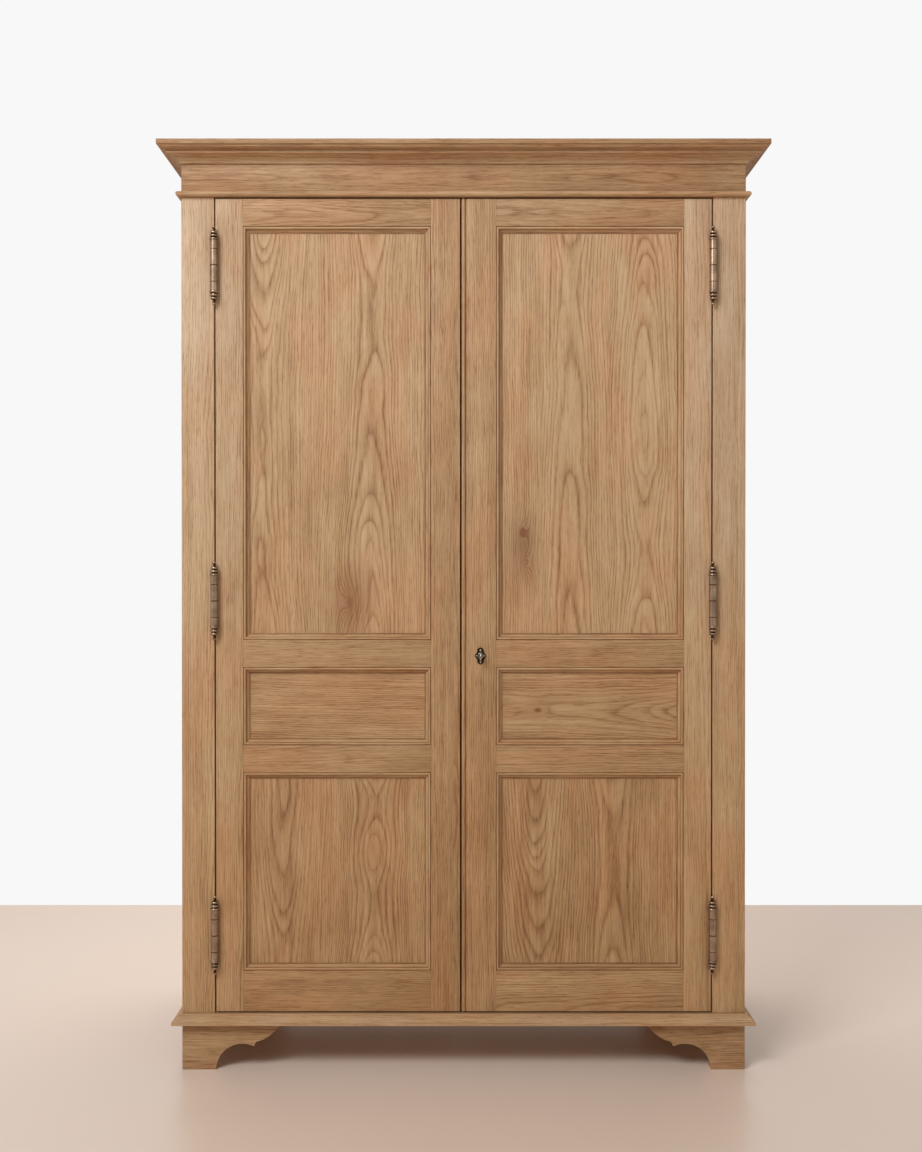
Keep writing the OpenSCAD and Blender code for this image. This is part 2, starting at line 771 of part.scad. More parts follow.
// A mitred pair of brackets at the right front corner
module front_foot() {
    intersection() {
        translate([half_w, y_face, 0]) mirror([1, 0, 0]) upright(0, foot_t) bracket_outline();
        translate([0, 0, -over]) linear_extrude(foot_h + 2 * over) polygon([
            [half_w + over - mitre_gap, y_face - over],
            [half_w - foot_t - over - mitre_gap, y_face + foot_t + over],
            [0, y_face + foot_t + over], [0, y_face - over]
        ]);
    }
    intersection() {
        side_bracket();
        translate([0, 0, -over]) linear_extrude(foot_h + 2 * over) polygon([
            [half_w + over, y_face - over], [half_w + over, 0], [half_w - foot_t - over, 0],
            [half_w - foot_t - over, y_face + foot_t + over]
        ]);
    }
}
module side_bracket() translate([half_w, y_face, 0]) rotate([0, 0, 90]) upright(0, foot_t) bracket_outline();
module front_feet() color(oak) both_sides() front_foot();

// A rear foot: the same bracket at the side and a plain one with a sloping end behind
module rear_feet() {
    x_in = half_w - foot_t;
    color(oak) both_sides() {
        translate([0, y_face + y_back, 0]) mirror([0, 1, 0]) side_bracket();
        upright(y_back - foot_t, foot_t) polygon([
            [x_in - mitre_gap, 0], [x_in - mitre_gap, foot_h], [x_in - rear_bracket_l, foot_h],
            [half_w - foot_pad_w, 0]
        ]);
    }
}

module foot_blocks() {
    x_in = half_w - foot_t - foot_block;
    color(pine) both_sides() for (y = [y_face + foot_t, y_back - foot_t - foot_block])
        board([x_in, y, block_lift], [foot_block, foot_block, foot_h - block_lift]);
}

// The floor laps behind the doors' bottom rails and stops them
module floor_board() {
    x_end = x_side_in - slip_gap;
    x_notch = x_rear_post - slip_gap;
    y_end = y_inner_back - slip_gap;
    y_notch = y_rear_run - slip_gap;
    color(pine) difference() {
        translate([0, 0, z_base]) linear_extrude(floor_t) polygon([
            [-x_end, y_stop], [x_end, y_stop], [x_end, y_notch], [x_notch, y_notch], [x_notch, y_end],
            [-x_notch, y_end], [-x_notch, y_notch], [-x_end, y_notch]
        ]);
        translate([x_slide, y_stop, z_floor]) keeper_cut();
    }
}

// Head

module frieze_boards() {
    height = z_top - z_neck;
    color(oak) {
        difference() {
            front_run(z_neck, height, 0, front_t) translate([-front_t, 0]) square([front_t, height]);
            dowels_cut();
        }
        both_sides() difference() {
            side_run_of(z_neck, height, 0, front_t) translate([-front_t, 0]) square([front_t, height]);
            dowels_cut();
        }
        board([front_t - half_w + mitre_gap, y_back - head_back_t, z_neck],
            [body_w - 2 * (front_t + mitre_gap), head_back_t, height]);
    }
}

module neck_section() {
    r = neck_h / 2;
    square([neck_p - r, neck_h]);
    translate([neck_p - r, r]) intersection() {
        circle(r = r);
        translate([-over, -r]) square([r + over, neck_h]);
    }
}
module necking_bead() color(oak) {
    front_run(z_neck, neck_h, neck_p, 0) neck_section();
    both_sides() side_run_of(z_neck, neck_h, neck_p, 0) neck_section();
}

module cove_section() {
    fillet_z = cove_h - crown_fillet_h;
    difference() {
        square([crown_p - crown_step, fillet_z + over]);
        translate([crown_p - crown_step, fillet_z - cove_r]) circle(r = cove_r);
    }
    translate([0, fillet_z]) square([crown_p, crown_fillet_h]);
}
module cove_moulding() color(oak) {
    front_run(z_cove, cove_h, crown_p, 0) cove_section();
    both_sides() side_run_of(z_cove, cove_h, crown_p, 0) cove_section();
}

// Edge of the top board: a square fillet over a quarter round, x inwards from the tip
module top_section(run) {
    r = top_t - lip_fillet_h;
    translate([0, r]) square([run, lip_fillet_h]);
    translate([lip_step + r, 0]) square([run - lip_step - r, r + over]);
    translate([lip_step + r, r]) intersection() {
        circle(r = r);
        translate([-r, -r]) square([r + over, r + over]);
    }
}
module top_board() {
    reach = half_w + lip_p;
    color(oak) intersection() {
        translate([-reach, y_face - lip_p, z_top]) rotate([90, 0, 90])
            linear_extrude(2 * reach) top_section(body_d + lip_p);
        translate([0, y_back, z_top]) rotate([90, 0, 0]) linear_extrude(body_d + lip_p) {
            translate([-reach, 0]) top_section(reach);
            mirror([1, 0]) translate([-reach, 0]) top_section(reach);
        }
    }
}

module head_blocks() {
    x_in = half_w - front_t - head_block;
    color(pine) both_sides() for (y = [y_stop, y_back - head_back_t - head_block])
        board([x_in, y, z_top - head_block_h], [head_block, head_block, head_block_h]);
}

// The stop hangs behind the frieze and laps behind the doors' top rails
module door_stop() {
    x_end = half_w - front_t - head_block - slip_gap;
    color(pine) difference() {
        board([-x_end, y_stop, z_stop], [2 * x_end, stop_t, stop_h]);
        translate([x_slide, y_stop, z_stop]) mirror([0, 0, 1]) keeper_cut();
    }
}

// Inside

// The shelf is notched round the rear posts
module hat_shelf() {
    x_end = x_side_in - slip_gap;
    x_notch = x_rear_post - slip_gap;
    y_end = y_inner_back - slip_gap;
    y_notch = y_rear_run - slip_gap;
    color(pine) translate([0, 0, shelf_z]) linear_extrude(shelf_t) polygon([
        [-x_end, y_shelf], [x_end, y_shelf], [x_end, y_notch], [x_notch, y_notch], [x_notch, y_end],
        [-x_notch, y_end], [-x_notch, y_notch], [-x_end, y_notch]
    ]);
}

// A cleat laps over the front post's leg and over the rear post's inner face
module shelf_cleats() {
    color(pine) both_sides() difference() {
        translate([0, 0, shelf_z - cleat_h]) linear_extrude(cleat_h) polygon([
            [x_cleat, y_shelf], [x_side_in, y_shelf], [x_side_in, y_rear_run],
            [x_rear_post, y_rear_run], [x_rear_post, y_inner_back], [x_cleat, y_inner_back]
        ]);
        at_cleat_screws() screw_hole(long_screw_l);
        at_socket_screws() screw_hole();
    }
}
module at_cleat_screws() for (y = [y_cleat_front_screw, y_cleat_rear_screw], z = cleat_screw_zs)
    translate([x_cleat, y, z]) rotate([0, -90, 0]) children();
module at_socket_screws() for (i = [-1, 1])
    translate([x_cleat - socket_flange, y_rail, z_rail + i * (rail_d + socket_d) / 4 + i * socket_wall / 2])
        rotate([0, -90, 0]) children();

module hanging_rail() {
    length = 2 * (x_cleat - socket_flange - slip_gap);
    color(steel) translate([-length / 2, y_rail, z_rail]) rotate([0, 90, 0]) difference() {
        cylinder(d = rail_d, h = length);
        translate([0, 0, -over]) cylinder(d = rail_d - 2 * rail_wall, h = length + 2 * over);
    }
}

module rail_sockets() {
    color(steel) both_sides() difference() {
        translate([x_cleat, y_rail, z_rail]) rotate([0, -90, 0]) difference() {
            union() {
                cylinder(d = socket_d, h = socket_flange);
                cylinder(d = rail_d + 2 * socket_wall, h = socket_l);
            }
            translate([0, 0, socket_flange]) cylinder(d = rail_d + 2 * glue_gap, h = socket_l);
        }
        at_socket_screws() screw_hole();
    }
}

// Hinges: the axis is at the origin, the wood that holds the leaf lies towards +x

// A turned finial that stands on the end of a barrel
module finial() {
    edge_r = ring_r - finial_bead_r;
    last_r = edge_r - 2 * finial_taper;
    z_last = finial_bead_r + 2 * finial_ring_step;
    z_button = finial_l - button_r;
    rotate_extrude() {
        for (i = [0:2]) translate([edge_r - i * finial_taper, finial_bead_r + i * finial_ring_step])
            circle(r = finial_bead_r);
        polygon([
            [0, 0], [edge_r, finial_bead_r], [last_r, z_last], [last_r, z_last + finial_bead_r],
            [0, z_last + finial_bead_r]
        ]);
        square([neck_r, z_button]);
        intersection() {
            translate([0, z_button]) circle(r = button_r);
            translate([0, z_last]) square([2 * button_r, finial_l - z_last]);
        }
    }
}

module at_leaf_screws() for (z = leaf_screw_zs)
    translate([door_gap / 2, hinge_off + leaf_screw_in, half_barrel / 2 + z]) rotate([0, -90, 0]) children();

// The recess for a leaf and the pilot holes of its screws
module leaf_cut() {
    board([door_gap / 2 - over, hinge_off - over, leaf_end - glue_gap],
        [leaf_t + glue_gap + over, leaf_d + glue_gap + over, leaf_h + 2 * glue_gap]);
    at_leaf_screws() screw_hole();
}

// Barrel, finial and leaf of one half, which stands up from height z_start
module half_hinge(z_start) {
    difference() {
        union() {
            translate([0, 0, z_start]) cylinder(d = barrel_d, h = half_barrel + finial_bead_r - z_start);
            translate([0, 0, half_barrel]) finial();
            board([door_gap / 2, 0, leaf_end], [leaf_t, hinge_off + leaf_d, leaf_h]);
        }
        at_leaf_screws() screw_hole();
    }
}

// The lower half carries the pin
module pin_half() {
    mirror([0, 0, 1]) half_hinge(0);
    cylinder(d = pin_d, h = pin_l);
}

// The upper half lifts off the pin
module socket_half() {
    difference() {
        half_hinge(seam_gap);
        cylinder(d = pin_d + 2 * run_gap, h = pin_l + end_room);
    }
}

module hinge_pins() for (z = hinge_zs) translate([x_hinge, y_hinge, z]) pin_half();
module right_hinge_pins() color(aged_brass) hinge_pins();
module left_hinge_pins() color(aged_brass) on_left() hinge_pins();

module at_door_hinges() for (z = hinge_zs) translate([-door_gap / 2, -hinge_off, z]) children();
module left_hinge_sockets() color(aged_brass) in_left_door() at_door_hinges() socket_half();
module right_hinge_sockets() color(aged_brass) in_right_door() at_door_hinges() socket_half();

// Doors

module stile_cuts() {
    long_groove(z_door - over, door_h + 2 * over);
    for (i = [0:3]) mortise(rail_hs[i], rail_zs[i]);
}

module hinge_stile() {
    difference() {
        board([0, 0, z_door], [hinge_stile_w, door_t, door_h]);
        translate([hinge_stile_w, 0, 0]) stile_cuts();
        at_door_hinges() leaf_cut();
    }
}
module left_hinge_stile() color(oak) in_left_door() hinge_stile();
module right_hinge_stile() color(oak) in_right_door() hinge_stile();

module left_meeting_stile() {
    color(oak) difference() {
        translate([x_left_edge, y_face, 0]) mirror([1, 0, 0]) difference() {
            board([0, 0, z_door], [left_meet_w, door_t, door_h]);
            translate([left_meet_w, 0, 0]) stile_cuts();
        }
        at_top_slide() at_guide_screws() screw_hole();
        at_bottom_slide() at_guide_screws() screw_hole();
        at_keeper_screws() screw_hole();
    }
}

// The right meeting stile ends in a bead with a quirk beside it
module right_meeting_stile() {
    color(oak) difference() {
        translate([x_right_edge, y_face, 0]) difference() {
            translate([0, 0, z_door]) linear_extrude(door_h) {
                difference() {
                    square([right_meet_w, door_t]);
                    translate([-over, -over]) square([2 * bead_r + quirk_w + over, bead_r + over]);
                }
                translate([bead_r, bead_r]) circle(r = bead_r);
            }
            translate([right_meet_w, 0, 0]) stile_cuts();
        }
        keyhole(y_face - over, door_t + 2 * over);
        at_case_screws() screw_hole();
    }
}

module door_rails() translate([hinge_stile_w, 0, 0]) for (i = [0:3])
    rail(open_w, rail_hs[i], rail_zs[i], door_t, i < 3, i > 0);
module left_door_rails() color(oak) in_left_door() door_rails();
// The key passes through the tenon of the rail behind it
module right_door_rails() color(oak) difference() {
    in_right_door() door_rails();
    keyhole(y_face - over, door_t + 2 * over);
}

module door_panel(i) translate([hinge_stile_w, 0, 0]) panel(open_w, open_hs[i], open_zs[i]);
module left_lower_panel() color(oak_deep) in_left_door() door_panel(0);
module left_middle_panel() color(oak_deep) in_left_door() door_panel(1);
module left_upper_panel() color(oak_deep) in_left_door() door_panel(2);
module right_lower_panel() color(oak_deep) in_right_door() door_panel(0);
module right_middle_panel() color(oak_deep) in_right_door() door_panel(1);
module right_upper_panel() color(oak_deep) in_right_door() door_panel(2);

module door_mouldings() translate([hinge_stile_w, 0, 0]) for (i = [0:2])
    mould_frame(open_w, open_hs[i], open_zs[i]);
module left_door_mouldings() color(oak) in_left_door() door_mouldings();
module right_door_mouldings() color(oak) in_right_door() door_mouldings();

// Slide bolts: the bolt's tip is at the origin, the door's inner face is at y = 0
guide_span = slide_l - 2 * guide_start;
module at_top_slide() translate([x_slide, y_door_back, z_top_tip]) children();
module at_bottom_slide() translate([x_slide, y_door_back, z_bottom_tip]) mirror([0, 0, 1]) children();
module at_guide_screws() for (i = [-1, 1])
    translate([i * (slide_plate_w / 2 - screw_in), slide_plate_t, (i * guide_screw_gap - slide_l) / 2])
        rotate([-90, 0, 0]) children();

module slide_guides() {
    block_w = slide_d + 2 * keeper_t;
    difference() {
        union() {
            board([-slide_plate_w / 2, 0, -guide_start - guide_span], [slide_plate_w, slide_plate_t, guide_span]);
            for (z = [-guide_start - guide_h, -guide_start - guide_span])
                board([-block_w / 2, 0, z], [block_w, slide_off + block_w / 2, guide_h]);
        }
        translate([0, slide_off, -slide_l - over]) cylinder(d = slide_d + 2 * run_gap, h = slide_l + over);
        at_guide_screws() screw_hole();
    }
}
module bolt_guides() color(aged_brass) {
    at_top_slide() slide_guides();
    at_bottom_slide() slide_guides();
}

module slide_bolt() {
    translate([0, slide_off, -slide_l]) cylinder(d = slide_d, h = slide_l);
    translate([0, slide_off, -slide_l / 2]) rotate([-90, 0, 0]) {
        cylinder(d = slide_d / 2, h = slide_d + knob_r);
        translate([0, 0, slide_d + knob_r]) sphere(r = knob_r);
    }
}
module top_bolt() color(steel) at_top_slide() slide_bolt();
module bottom_bolt() color(steel) at_bottom_slide() slide_bolt();

// A keeper plate let in flush at z = 0 with the bolt's hole below it
keeper_half = slide_plate_w / 2 + screw_d;
keeper_deep = slide_off + slide_d;
module at_keeper_holes() for (i = [-1, 1])
    translate([i * (slide_d + screw_d - slip_gap), keeper_deep / 2, 0]) children();
module keeper_cut() {
    board([-keeper_half - glue_gap, -over, -slide_plate_t],
        [2 * (keeper_half + glue_gap), keeper_deep + glue_gap + over, slide_plate_t + over]);
    slide_hole();
    at_keeper_holes() screw_hole(short_screw_l);
}
module slide_hole() translate([0, slide_off - stop_gap, slide_rest - slide_throw - end_room])
    cylinder(d = slide_d + 2 * slip_gap, h = slide_throw + end_room);
module keeper_plate() {
    difference() {
        board([-keeper_half, 0, -slide_plate_t], [2 * keeper_half, keeper_deep, slide_plate_t]);
        slide_hole();
        at_keeper_holes() screw_hole(short_screw_l);
    }
}
module at_keepers() {
    translate([x_slide, y_stop, z_floor]) children();
    translate([x_slide, y_stop, z_stop]) mirror([0, 0, 1]) children();
}
module bolt_keepers() color(aged_brass) at_keepers() keeper_plate();

// Lock

// A round hole with a slot below for the bit, from y for a depth t
module keyhole(y, t) {
    upright(y, t) {
        translate([x_key, z_key]) circle(d = shank_d + 2 * keyhole_gap);
        translate([x_key - bit_t / 2 - keyhole_gap, z_key - bit_r - keyhole_gap])
            square([bit_t + 2 * keyhole_gap, bit_r + keyhole_gap]);
    }
}

module at_case_screws() for (x = [screw_in, case_w - screw_in], z = [
    case_z - flange_h / 2, case_z + case_h + flange_h / 2
]) translate([case_x + x, y_door_back + case_wall, z]) rotate([-90, 0, 0]) children();

// A rim lock: a flanged plate, a hollow box and guides above and below the bolt
module lock_case() {
    inside = case_w - 2 * case_wall;
    color(dark_iron) difference() {
        union() {
            board([case_x, y_door_back, case_z - flange_h], [case_w, case_wall, case_h + 2 * flange_h]);
            difference() {
                board([case_x, y_door_back, case_z], [case_w, case_d, case_h]);
                board([case_x + case_wall, y_door_back + case_wall, case_z + case_wall],
                    [inside, case_d - 2 * case_wall, case_h - 2 * case_wall]);
            }
            for (x = [case_x + case_wall, case_x + case_w - case_wall - guide_rib])
                board([x, y_door_back, case_z], [guide_rib, case_d, case_h]);
        }
        board([case_x - over, bolt_y - slip_gap, bolt_z - slip_gap],
            [case_w - case_wall + over, lock_bolt_t + 2 * slip_gap, lock_bolt_h + 2 * slip_gap]);
        keyhole(y_door_back - over, case_wall + over);
        at_case_screws() screw_hole();
    }
}

// The bolt is scooped out over the circle that the bit sweeps
module lock_bolt() color(steel) difference() {
    board([case_x, bolt_y, bolt_z], [lock_bolt_l, lock_bolt_t, lock_bolt_h]);
    upright(bolt_y - over, lock_bolt_t + 2 * over)
        translate([x_key + lock_throw / 2, z_key]) circle(r = bit_r + end_room);
}

// The loop on the left door that the lock bolt enters
keeper_z = bolt_z + lock_bolt_h / 2;
module at_keeper_screws() for (i = [-1, 1])
    translate([x_left_edge - case_inset - keeper_w / 2, y_door_back + case_wall,
        keeper_z + i * (lock_bolt_h / 2 + keeper_t + 2 * screw_d)]) rotate([-90, 0, 0]) children();
module lock_keeper() {
    gap_h = lock_bolt_h + 2 * slip_gap;
    loop_y = bolt_y - slip_gap;
    loop_t = lock_bolt_t + 2 * slip_gap;
    keeper_plate_h = gap_h + 2 * (keeper_t + 3 * screw_d);
    x = x_left_edge - case_inset - keeper_w;
    color(dark_iron) difference() {
        union() {
            board([x, y_door_back, keeper_z - keeper_plate_h / 2], [keeper_w, case_wall, keeper_plate_h]);
            board([x, y_door_back, keeper_z - gap_h / 2 - keeper_t],
                [keeper_w, loop_y - y_door_back + loop_t + keeper_t, gap_h + 2 * keeper_t]);
        }
        board([x - over, loop_y, keeper_z - gap_h / 2], [keeper_w + 2 * over, loop_t, gap_h]);
        at_keeper_screws() screw_hole();
    }
}

// A lozenge with a round lobe at its top and bottom
module escutcheon() {
    lobe_z = plate_h / 2 - plate_lobe_r;
    tip_z = plate_h / 2 - over;
    color(dark_iron) difference() {
        upright(y_face - plate_t, plate_t) translate([x_key, z_key]) {
            polygon([[-plate_w / 2, 0], [0, -tip_z], [plate_w / 2, 0], [0, tip_z]]);
            for (z = [-lobe_z, lobe_z]) translate([0, z]) circle(r = plate_lobe_r);
        }
        keyhole(y_face - plate_t - over, plate_t + 2 * over);
    }
}

// The key at rest: bow on edge to the front, bit down
module key() {
    y_bow = y_face - key_out;
    y_end = y_door_back + case_d - case_wall - slip_gap;
    y_shank = y_bow + bow_d / 2 - bow_t;
    bit_l = case_d - 2 * case_wall - 2 * slip_gap;
    color(dark_iron) translate([x_key, 0, z_key]) {
        translate([0, y_bow, 0]) rotate([0, 90, 0]) rotate_extrude()
            translate([(bow_d - bow_t) / 2, 0]) circle(d = bow_t);
        translate([0, y_shank, 0]) rotate([-90, 0, 0]) cylinder(d = shank_d, h = y_end - y_shank);
        translate([0, y_shank + bow_t / 2, 0]) rotate([-90, 0, 0]) cylinder(d = shank_d + bow_t, h = bow_t / 2);
        translate([-bit_t / 2, y_end - bit_l, -bit_r]) cube([bit_t, bit_l, bit_r]);
    }
}

// Screws

module carcass_screws() color(steel) {
    both_sides() {
        for (z = hinge_zs) translate([x_hinge, y_hinge, z]) mirror([0, 0, 1]) at_leaf_screws() screw();
        at_cleat_screws() screw(long_screw_l);
        at_socket_screws() screw();
    }
    at_keepers() at_keeper_holes() screw(short_screw_l);
}
module left_door_screws() color(steel) {
    in_left_door() at_door_hinges() at_leaf_screws() screw();
    at_top_slide() at_guide_screws() screw();
    at_bottom_slide() at_guide_screws() screw();
    at_keeper_screws() screw();
}
module right_door_screws() color(steel) {
    in_right_door() at_door_hinges() at_leaf_screws() screw();
    at_case_screws() screw();
}

left_front_post();
right_front_post();
left_rear_post();
right_rear_post();
left_side_rails();
right_side_rails();
left_side_panels();
right_side_panels();
side_mouldings();
back_rails();
back_boards();
base_frame();
front_feet();
rear_feet();
foot_blocks();
floor_board();
frieze_boards();
necking_bead();
cove_moulding();
top_board();
head_blocks();
door_stop();
dowels();
hat_shelf();
shelf_cleats();
hanging_rail();
rail_sockets();
left_hinge_pins();
right_hinge_pins();
carcass_screws();
bolt_keepers();
left_hinge_stile();
left_meeting_stile();
left_door_rails();
left_upper_panel();
left_middle_panel();
left_lower_panel();
left_door_mouldings();
left_hinge_sockets();
left_door_screws();
bolt_guides();
lock_keeper();
top_bolt();
bottom_bolt();
right_hinge_stile();
right_meeting_stile();
right_door_rails();
right_upper_panel();
right_middle_panel();
right_lower_panel();
right_door_mouldings();
right_hinge_sockets();
right_door_screws();
lock_case();
lock_bolt();
escutcheon();
key();
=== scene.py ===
import bmesh
import bpy
import json
import math
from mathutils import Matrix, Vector

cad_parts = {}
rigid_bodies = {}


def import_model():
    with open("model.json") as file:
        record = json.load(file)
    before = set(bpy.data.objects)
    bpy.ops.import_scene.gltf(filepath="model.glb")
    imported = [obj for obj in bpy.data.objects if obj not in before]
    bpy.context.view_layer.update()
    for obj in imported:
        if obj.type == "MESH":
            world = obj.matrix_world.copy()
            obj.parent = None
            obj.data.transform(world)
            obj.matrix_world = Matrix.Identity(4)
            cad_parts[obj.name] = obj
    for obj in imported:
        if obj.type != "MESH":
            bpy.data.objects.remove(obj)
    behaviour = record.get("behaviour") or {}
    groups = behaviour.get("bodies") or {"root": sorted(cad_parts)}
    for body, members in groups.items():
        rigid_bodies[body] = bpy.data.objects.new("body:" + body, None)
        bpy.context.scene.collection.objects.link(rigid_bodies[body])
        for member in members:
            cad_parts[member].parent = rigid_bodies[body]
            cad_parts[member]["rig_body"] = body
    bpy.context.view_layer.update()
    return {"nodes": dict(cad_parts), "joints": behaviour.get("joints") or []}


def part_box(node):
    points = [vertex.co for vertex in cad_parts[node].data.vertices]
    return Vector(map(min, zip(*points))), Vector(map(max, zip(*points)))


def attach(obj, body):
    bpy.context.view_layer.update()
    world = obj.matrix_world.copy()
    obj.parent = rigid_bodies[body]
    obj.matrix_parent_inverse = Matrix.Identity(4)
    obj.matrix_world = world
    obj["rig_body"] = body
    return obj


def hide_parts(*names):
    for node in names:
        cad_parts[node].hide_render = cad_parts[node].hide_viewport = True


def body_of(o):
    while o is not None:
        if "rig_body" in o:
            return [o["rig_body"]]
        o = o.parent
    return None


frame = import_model()

# The wardrobe is seen square from the front, from breast height and three metres off its
# doors, with the view tipped down by less than half a degree.
eye_height = 1.144
eye_distance = 3.3376
eye_aside = -0.0058
eye_tip = math.radians(0.387)
eye = bpy.data.cameras.new("eye")
eye.sensor_width = 36.0
eye.lens = 42.13
eye_stand = bpy.data.objects.new("eye", eye)
eye_stand.location = (eye_aside, -eye_distance, eye_height)
eye_stand.rotation_euler = (math.radians(90) - eye_tip, 0, 0)
bpy.context.collection.objects.link(eye_stand)
bpy.context.scene.camera = eye_stand
bpy.context.scene.view_settings.view_transform = "Standard"


# A plain pale floor that ends nearly a metre behind the wardrobe, and white all round. The main
# soft lamp hangs high on the left in front; weaker ones stand on the left, on the right, low in
# front like light thrown back by the floor, and over the floor behind.
class Wire:
    """One socket of a material: + - * / on it add Math nodes, and add() any other node."""

    def __init__(self, tree, socket=None):
        self.tree, self.socket = tree, socket

    def add(self, kind, settings=None, inputs=None, output=0):
        """A node with its settings, such as a ramp's stops or a curve's bends, and its inputs."""
        node = self.tree.nodes.new("ShaderNode" + kind)
        for name, value in (settings or {}).items():
            if name == "stops":
                ramp = node.color_ramp.elements
                while len(ramp) < len(value):
                    ramp.new(0.5)
                for stop, (place, colour) in zip(ramp, value):
                    stop.position, stop.color = place, (*colour, 1)
            elif name == "bends":
                curve = node.mapping.curves[0]
                curve.points[0].location, curve.points[1].location = value[0], value[-1]
                for place in value[1:-1]:
                    curve.points.new(*place)
                node.mapping.update()
            else:
                setattr(node, name, value)
        for name, value in (inputs or {}).items():
            if isinstance(value, Wire):
                self.tree.links.new(value.socket, node.inputs[name])
            else:
                node.inputs[name].default_value = value
        return Wire(self.tree, node.outputs[output])

    def maths(self, operation, *values):
        return self.add("Math", {"operation": operation}, dict(enumerate(values)))

    def __add__(self, other):
        return self.maths("ADD", self, other)

    def __sub__(self, other):
        return self.maths("SUBTRACT", self, other)

    def __rsub__(self, other):
        return self.maths("SUBTRACT", other, self)

    def __mul__(self, other):
        return self.maths("MULTIPLY", self, other)

    def __truediv__(self, other):
        return self.maths("DIVIDE", self, other)

    def __pow__(self, other):
        return self.maths("POWER", self, other)

    __radd__ = __add__
    __rmul__ = __mul__


def srgb(red, green, blue):
    """A colour read as 0 to 255, turned to the linear numbers that a shader takes."""
    return tuple(((c / 255 + 0.055) / 1.055) ** 2.4 if c > 10 else c / 255 / 12.92
                 for c in (red, green, blue))


floor_rear = 1.2165
floor_half_width = 9
floor_half_depth = 4.5
floor_mesh = bpy.data.meshes.new("floor")
shape = bmesh.new()
bmesh.ops.create_grid(shape, x_segments=1, y_segments=1, size=1)
bmesh.ops.scale(shape, vec=(floor_half_width, floor_half_depth, 1), verts=shape.verts)
bmesh.ops.translate(shape, vec=(0, floor_rear - floor_half_depth, 0), verts=shape.verts)
shape.to_mesh(floor_mesh)
shape.free()
floor = bpy.data.objects.new("floor", floor_mesh)
bpy.context.collection.objects.link(floor)
floor_paint = bpy.data.materials.new("floor_paint")
floor_paint.use_nodes = True
floor_shader = floor_paint.node_tree.nodes["Principled BSDF"]
floor_shader.inputs["Base Color"].default_value = (*srgb(246, 226, 211), 1)
floor_shader.inputs["Roughness"].default_value = 0.24
floor_shader.inputs["Specular IOR Level"].default_value = 1.0
floor_mesh.materials.append(floor_paint)

# Seen straight on the sky is white, and it shows by less than half in what is polished; what
# falls on the wood is only a faint warm light.
sky_white = srgb(248, 248, 248)
sky_in_polish = 0.45
air_colour = (1, 0.89, 0.76)
air_strength = 0.22
sky = bpy.data.worlds.new("sky")
sky.use_nodes = True
bpy.context.scene.world = sky
sky_tree = sky.node_tree
sky_tree.nodes.clear()
start = Wire(sky_tree)
seen = start.add("LightPath", output="Is Camera Ray")
polished = start.add("LightPath", output="Is Glossy Ray") * sky_in_polish
white = start.add("Background", inputs={"Color": (*sky_white, 1), "Strength": 1.0})
air = start.add("Background", inputs={"Color": (*air_colour, 1), "Strength": air_strength})
look = start.add("MixShader", inputs={0: start.maths("MAXIMUM", seen, polished), 1: air, 2: white})
sky_tree.links.new(look.socket, sky_tree.nodes.new("ShaderNodeOutputWorld").inputs["Surface"])


def lamp(name, place, target, size, watts, tint):
    """A square soft lamp that is turned to its target."""
    light = bpy.data.lights.new(name, "AREA")
    light.shape, light.size, light.energy, light.color = "SQUARE", size, watts, tint
    stand = bpy.data.objects.new(name, light)
    stand.location = place
    stand.rotation_euler = (Vector(target) - Vector(place)).to_track_quat("-Z", "Y").to_euler()
    bpy.context.collection.objects.link(stand)
    return stand


lamp("key_lamp", (-2.1, -3.6, 4.2), (0, -0.2, 2.7), 2.1, 172, (0.95, 0.985, 1.01))
lamp("side_lamp", (-3.8, -1.7, 1.7), (0, -0.2, 1.3), 2.6, 10, (0.93, 0.98, 1.03))
lamp("rear_lamp", (0, 1.6, 3.4), (0, 1.2, 0), 3.0, 79, (1, 0.98, 0.96))
lamp("fill_lamp", (2.8, -3.6, 2.6), (0, -0.2, 1.9), 2.5, 12, (0.97, 0.985, 1))
low_lamp = lamp("low_lamp", (0.2, -3.4, 0.25), (0, -0.2, 0.35), 1.4, 3.6, (0.96, 0.85, 0.72))
low_lamp.visible_glossy = False


# Four solid oak posts that run from the base to the head, with a small arris planed off each
# edge. The grain runs up the post, nearly straight, and the wood is a shade paler than the doors'.
def separate_boards(shape):
    """The boards of a merged mesh, each as a list of its vertices, in order of their middles."""
    boards, left = [], set(shape.verts)
    while left:
        heap, board = [left.pop()], []
        while heap:
            vert = heap.pop()
            board.append(vert)
            for edge in vert.link_edges:
                other = edge.other_vert(vert)
                if other in left:
                    left.remove(other)
                    heap.append(other)
        boards.append(board)

    # Middles are compared to a tenth of a millimetre; the nudge keeps them off the half steps
    nudge = 0.00002
    return sorted(boards, key=lambda board: tuple(
        round(sum(vert.co[i] for vert in board) / len(board) + nudge, 4) for i in range(3)))


